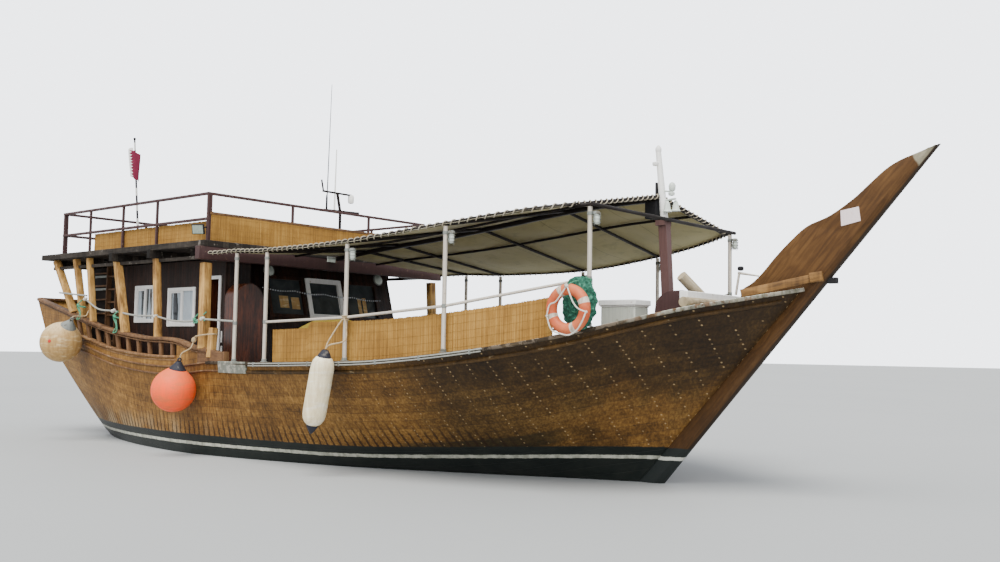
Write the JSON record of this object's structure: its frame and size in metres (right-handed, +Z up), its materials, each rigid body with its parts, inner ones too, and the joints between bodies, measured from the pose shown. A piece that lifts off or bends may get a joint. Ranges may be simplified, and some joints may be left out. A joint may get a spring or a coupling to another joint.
{
  "type": "wooden dhow motor boat",
  "caption": "Wooden dhow afloat with a raked stem, railed poop cabin with an upper deck, and a canopy over the open main deck.",
  "frame": {"origin": "on the centreline at the waterline, amidships", "axes": "+X forward to the bow, +Y to port, +Z up"},
  "size_m": [20.475, 7.4991, 9.9602],
  "materials": {
    "timber": "varnished, streaked and weathered",
    "grey": "bare weathered timber",
    "dark": "dark stained planks",
    "paint": "maroon paint, worn",
    "pale": "pale grey paint on pipe",
    "mat": "split reed",
    "canvas": "khaki canvas",
    "white": "white paint",
    "orange": "sun-faded orange",
    "cream": "dirty cream vinyl",
    "bronze": "dull bronze",
    "flag": "maroon and white cloth"
  },
  "bodies": {
    "boat": {"hull": "timber", "keel": "timber", "stem": "timber", "stern_tube": "bronze", "main_deck": "grey", "foredeck": "grey", "poop_deck": "grey", "bulwark_starboard": "timber", "poop_side_starboard": "timber", "poop_rail_starboard": "grey", "gunwale_starboard": "timber", "bulwark_port": "timber", "poop_side_port": "timber", "poop_rail_port": "grey", "gunwale_port": "timber", "stern_bulwark": "timber", "cabin_wall_starboard": "dark", "cabin_wall_port": "dark", "cabin_wall_aft": "dark", "cabin_front": "dark", "helm_console": "dark", "locker": "dark", "upper_deck": "grey", "front_beam": "paint", "roof_posts_starboard": "timber", "roof_posts_port": "timber", "upper_rail_starboard": "paint", "upper_rail_port": "paint", "upper_rail_forward": "paint", "upper_rail_aft": "paint", "ladder": "timber", "mat_upper_starboard": "mat", "mat_upper_forward": "mat", "mat_lower_starboard": "mat", "canopy_post_starboard": "pale", "canopy_post_port": "pale", "canopy_poles_starboard": "pale", "canopy_poles_port": "pale", "canopy_frame": "pale", "canopy": "canvas", "mast": "paint", "mast_top": "white", "radio_mast": "pale", "flagstaff": "dark", "flag": "flag", "floodlight": "dark", "bow_box": "paint", "bow_timbers": "timber", "fender_stern": "cream", "fender_ball": "orange", "fender_long": "cream", "lifebuoy": "orange"},
    "rudder_body": {"rudder": "bronze"},
    "propeller_body": {"propeller": "bronze"},
    "helm_body": {"helm_wheel": "bronze"},
    "door_body": {"cabin_door": "dark"}
  },
  "joints": [
    {"name": "rudder_turn", "type": "hinge", "parent": "boat", "child": "rudder_body", "pos_m": [-7.7, 0, -1], "axis": [0, 0, 1], "range_deg": [-35, 35]},
    {"name": "helm_turn", "type": "hinge", "parent": "boat", "child": "helm_body", "pos_m": [-3.56, 0, 2.45], "axis": [1, 0, 0], "range_deg": [-350, 350]},
    {"name": "propeller_spin", "type": "hinge", "parent": "boat", "child": "propeller_body", "pos_m": [-7, 0, -1.25], "axis": [1, 0, 0], "continuous": true},
    {"name": "door_swing", "type": "hinge", "parent": "boat", "child": "door_body", "pos_m": [-3.7, -2.3845, 2.6], "axis": [0, 0, 1], "range_deg": [-90, 0]}
  ],
  "couplings": [
    {"joint": "helm_turn", "follows": "rudder_turn", "ratio": 10}
  ]
}
